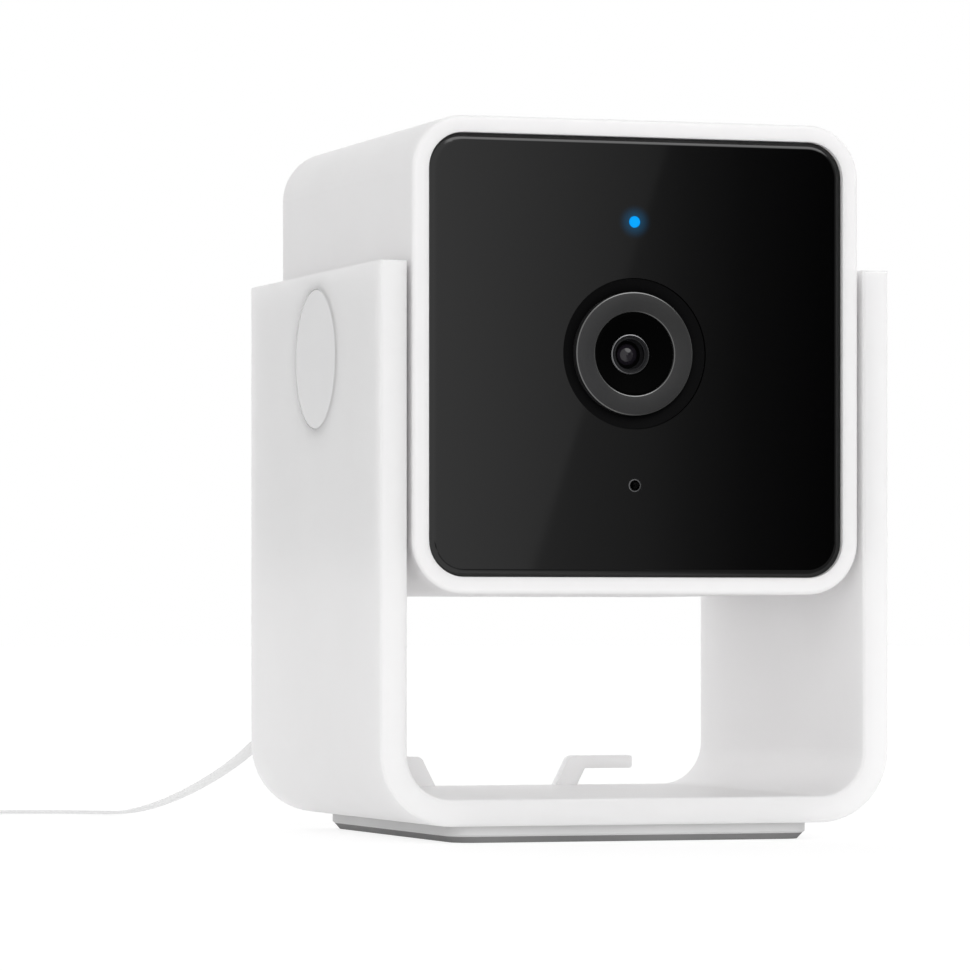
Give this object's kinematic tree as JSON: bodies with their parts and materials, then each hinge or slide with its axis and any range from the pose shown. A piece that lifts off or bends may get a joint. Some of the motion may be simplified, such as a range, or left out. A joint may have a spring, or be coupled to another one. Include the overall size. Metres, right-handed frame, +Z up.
{
  "type": "pet camera",
  "caption": "Small cube-shaped indoor pet camera that tilts on friction pivots between the walls of a U-shaped stand, with a flat power cable plugged in at its back.",
  "frame": {"origin": "on the table, under the centre of the stand", "axes": "+Z up, -Y the way the lens looks, +X to the right of someone who faces the lens"},
  "size_m": [0.1387, 0.1245, 0.081],
  "materials": {
    "white_shell": "fine satin white",
    "black_window": "polished black",
    "lens_black": "satin black",
    "ring_grey": "satin dark grey",
    "lens_glass": "coated glass",
    "light_pipe": "clear acrylic with a blue lamp behind it",
    "circuit_board": "green solder mask",
    "chip_black": "moulded epoxy",
    "led_body": "clear epoxy",
    "flex_film": "amber film",
    "bright_metal": "plated",
    "spreader_metal": "bare",
    "cone_paper": "coated paper",
    "soft_black": "soft foam",
    "pivot_plastic": "bare acetal",
    "plate_grey": "satin light grey",
    "pad_grey": "dark grey rubber",
    "cable_white": "soft white jacket"
  },
  "bodies": {
    "stand": {"stand_frame": "white_shell", "pivot_caps": "white_shell", "spring_washers": "bright_metal", "base_plate": "plate_grey", "base_screws": "bright_metal", "rubber_pad": "pad_grey", "cable_drop": "cable_white", "cable_floor": "cable_white", "cable_coil": "cable_white", "cable_tail": "cable_white", "cable_tie": "cable_white", "power_plug_body": "cable_white", "power_plug_shell": "bright_metal"},
    "head": {"board_standoffs": "bright_metal", "cover_screws": "bright_metal", "faceplate": "black_window", "flex_cable": "flex_film", "flex_sockets": "chip_black", "friction_washers": "pivot_plastic", "front_board": "circuit_board", "front_lens": "lens_glass", "head_shell": "white_shell", "heat_spreader": "spreader_metal", "image_sensor": "chip_black", "infrared_leds": "led_body", "lens_barrel": "lens_black", "lens_dish": "lens_black", "lens_holder": "lens_black", "lens_ring": "ring_grey", "light_pipe": "light_pipe", "main_board": "circuit_board", "mic_gasket": "soft_black", "microphone": "bright_metal", "pivot_hubs": "pivot_plastic", "pivot_screws": "bright_metal", "plug_boot": "cable_white", "port_board": "circuit_board", "processor": "chip_black", "radio_shield": "bright_metal", "rear_cover": "white_shell", "reset_switch": "chip_black", "sensor_board": "circuit_board", "speaker_cone": "cone_paper", "speaker_frame": "bright_metal", "speaker_gasket": "soft_black", "speaker_magnet": "bright_metal", "status_led": "led_body", "usb_plug_body": "cable_white", "usb_plug_shell": "bright_metal", "usb_socket": "bright_metal", "wifi_antenna": "flex_film"},
    "reset_button": {"reset_button": "white_shell"}
  },
  "joints": [
    {"name": "head_tilt", "type": "hinge", "parent": "stand", "child": "head", "pos_m": [0, -0.001, 0.0549], "axis": [1, 0, 0], "range_deg": [-30, 30], "deforming": ["cable_drop"]},
    {"name": "reset_press", "type": "slide", "parent": "head", "child": "reset_button", "axis": [0, -1, 0], "range_m": [0, 0.0005], "stiffness_N_per_m": 400, "springref_m": -0.001}
  ]
}
